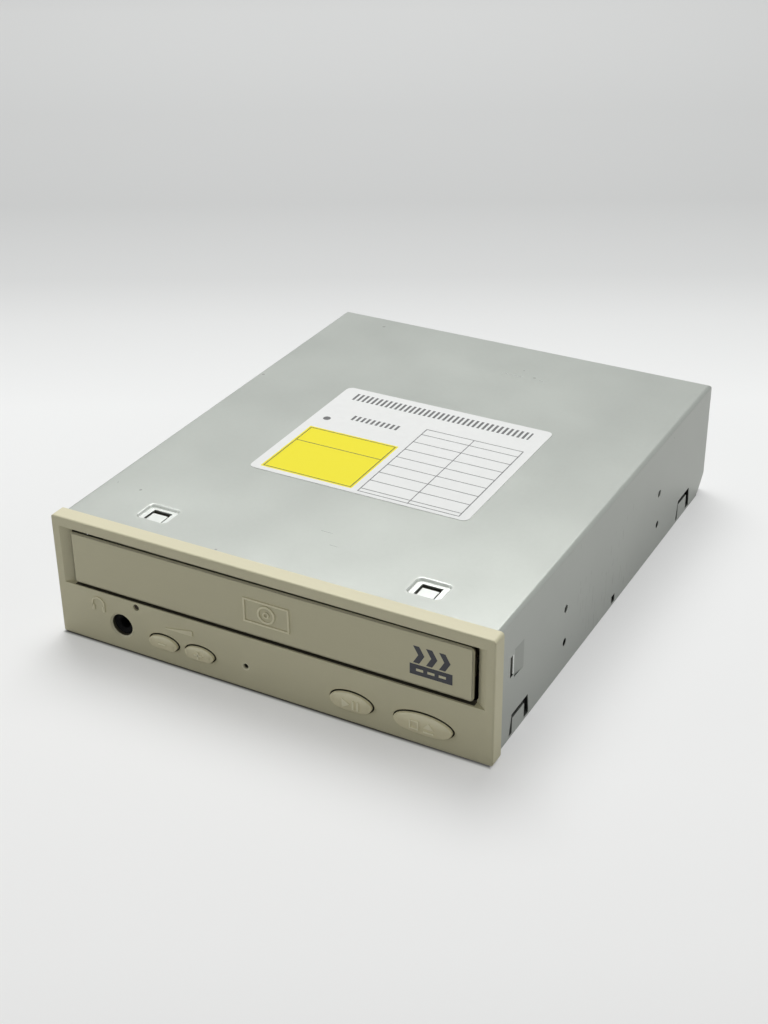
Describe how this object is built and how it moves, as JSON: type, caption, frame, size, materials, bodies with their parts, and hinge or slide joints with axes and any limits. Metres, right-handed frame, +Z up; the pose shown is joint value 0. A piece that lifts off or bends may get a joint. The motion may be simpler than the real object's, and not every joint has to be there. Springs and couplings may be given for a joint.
{
  "type": "optical disc drive",
  "caption": "Half-height computer disc drive with a sliding tray, sheet-steel case, front buttons, headphone socket and rear connectors.",
  "frame": {"origin": "middle of the footprint, on the plane of the underside", "axes": "+Z up, the front with the tray faces -Y, +X to the right seen from the front"},
  "size_m": [0.1486, 0.1818, 0.042],
  "materials": {
    "zinc_steel": "zinc-plated sheet, softly reflective",
    "beige_plastic": "moulded, fine matt texture",
    "button_plastic": "moulded, satin",
    "black_plastic": "moulded, matt",
    "lamp_plastic": "clear tinted lens",
    "grey_plastic": "glass-filled moulding, matt",
    "white_plastic": "low-friction moulding, satin",
    "brass": "bright",
    "rubber": "soft, matt",
    "motor_steel": "plated cans and rods",
    "screw_steel": "plated",
    "cast_metal": "die cast, matt",
    "lens_glass": "clear, coated",
    "board_green": "laminate with solder mask",
    "cap_blue": "moulded"
  },
  "bodies": {
    "drive": {"top_cover": "zinc_steel", "bottom_cover": "zinc_steel", "cover_screws": "screw_steel", "bezel": "beige_plastic", "headphone_jack": "black_plastic", "activity_lamp": "lamp_plastic", "front_board": "board_green", "button_switches": "black_plastic", "loader_frame": "grey_plastic", "drive_belt": "rubber", "loading_motor": "motor_steel", "clamp_bridge": "zinc_steel", "main_board": "board_green", "board_screws": "screw_steel", "board_chips": "black_plastic", "ribbon_sockets": "white_plastic", "data_header": "black_plastic", "data_pins": "brass", "power_header": "white_plastic", "power_pins": "brass", "jumper_header": "black_plastic", "jumper_pins": "brass", "jumper_cap": "cap_blue", "audio_headers": "black_plastic", "audio_pins": "brass"},
    "tray": {"disc_tray": "beige_plastic", "tray_front": "beige_plastic"},
    "drive_wheel": {"tray_drive_gear": "white_plastic"},
    "pulley_wheel": {"pulley_gear": "white_plastic"},
    "motor_wheel": {"motor_pulley": "brass"},
    "cam": {"slide_cam": "white_plastic"},
    "lift": {"lift_frame": "grey_plastic", "mechanism_deck": "zinc_steel", "dampers": "rubber", "damper_screws": "screw_steel", "spindle_motor": "motor_steel", "guide_rods": "motor_steel", "sled_motor": "motor_steel"},
    "spindle": {"spindle_rotor": "motor_steel", "turntable": "black_plastic", "turntable_grip": "rubber"},
    "sled": {"pickup_sled": "cast_metal", "pickup_cover": "motor_steel", "sled_rack": "white_plastic"},
    "lens": {"lens_holder": "black_plastic", "objective_lens": "lens_glass"},
    "sled_wheel": {"sled_gear": "white_plastic"},
    "sled_motor_wheel": {"sled_motor_pinion": "brass"},
    "clamp": {"clamp_puck": "white_plastic", "clamp_yoke": "motor_steel"},
    "volume_down": {"volume_down_button": "button_plastic"},
    "volume_up": {"volume_up_button": "button_plastic"},
    "play": {"play_button": "button_plastic"},
    "eject": {"eject_button": "button_plastic"}
  },
  "joints": [
    {"name": "tray_slide", "type": "slide", "parent": "drive", "child": "tray", "axis": [0, -1, 0], "range_m": [0, 0.13]},
    {"name": "drive_gear_turn", "type": "hinge", "parent": "drive", "child": "drive_wheel", "pos_m": [-0.038, -0.06005, 0.0216], "axis": [0, 0, 1], "continuous": true},
    {"name": "pulley_gear_turn", "type": "hinge", "parent": "drive", "child": "pulley_wheel", "pos_m": [-0.018, -0.06005, 0.0216], "axis": [0, 0, 1], "continuous": true},
    {"name": "motor_pulley_turn", "type": "hinge", "parent": "drive", "child": "motor_wheel", "pos_m": [0.016, -0.06005, 0.0175], "axis": [0, 0, 1], "continuous": true},
    {"name": "lift_tilt", "type": "hinge", "parent": "drive", "child": "lift", "pos_m": [0, 0.06795, 0.016], "axis": [-1, 0, 0], "range_deg": [0, 4.5]},
    {"name": "cam_slide", "type": "slide", "parent": "drive", "child": "cam", "axis": [1, 0, 0], "range_m": [0, 0.016]},
    {"name": "spindle_turn", "type": "hinge", "parent": "lift", "child": "spindle", "pos_m": [0, -0.01862, 0.01992], "axis": [0, -0.0785, 0.9969], "continuous": true},
    {"name": "sled_slide", "type": "slide", "parent": "lift", "child": "sled", "axis": [0, 0.9969, 0.0785], "range_m": [0, 0.034]},
    {"name": "lens_focus", "type": "slide", "parent": "sled", "child": "lens", "axis": [0, -0.0785, 0.9969], "range_m": [-0.0005, 0.0005], "stiffness_N_per_m": 60},
    {"name": "sled_gear_turn", "type": "hinge", "parent": "lift", "child": "sled_wheel", "pos_m": [0.0282, 0.01803, 0.01307], "axis": [0, -0.0785, 0.9969], "continuous": true},
    {"name": "sled_motor_turn", "type": "hinge", "parent": "lift", "child": "sled_motor_wheel", "pos_m": [0.03169, 0.02758, 0.01383], "axis": [0, -0.0785, 0.9969], "continuous": true},
    {"name": "clamp_turn", "type": "hinge", "parent": "drive", "child": "clamp", "pos_m": [0, -0.01805, 0.0355], "axis": [0, 0, 1], "continuous": true},
    {"name": "volume_down_press", "type": "slide", "parent": "drive", "child": "volume_down", "axis": [0, 1, 0], "range_m": [0, 0.0006], "stiffness_N_per_m": 1500},
    {"name": "volume_up_press", "type": "slide", "parent": "drive", "child": "volume_up", "axis": [0, 1, 0], "range_m": [0, 0.0006], "stiffness_N_per_m": 1500},
    {"name": "play_press", "type": "slide", "parent": "drive", "child": "play", "axis": [0, 1, 0], "range_m": [0, 0.0006], "stiffness_N_per_m": 1500},
    {"name": "eject_press", "type": "slide", "parent": "drive", "child": "eject", "axis": [0, 1, 0], "range_m": [0, 0.0006], "stiffness_N_per_m": 1500}
  ],
  "couplings": [
    {"joint": "drive_gear_turn", "follows": "tray_slide", "rad_per_m": 71.429},
    {"joint": "pulley_gear_turn", "follows": "tray_slide", "rad_per_m": -166.67},
    {"joint": "motor_pulley_turn", "follows": "tray_slide", "rad_per_m": -655.56},
    {"joint": "cam_slide", "follows": "lift_tilt", "m_per_rad": 0.20371},
    {"joint": "sled_gear_turn", "follows": "sled_slide", "rad_per_m": -238.1},
    {"joint": "sled_motor_turn", "follows": "sled_slide", "rad_per_m": 571.43}
  ]
}
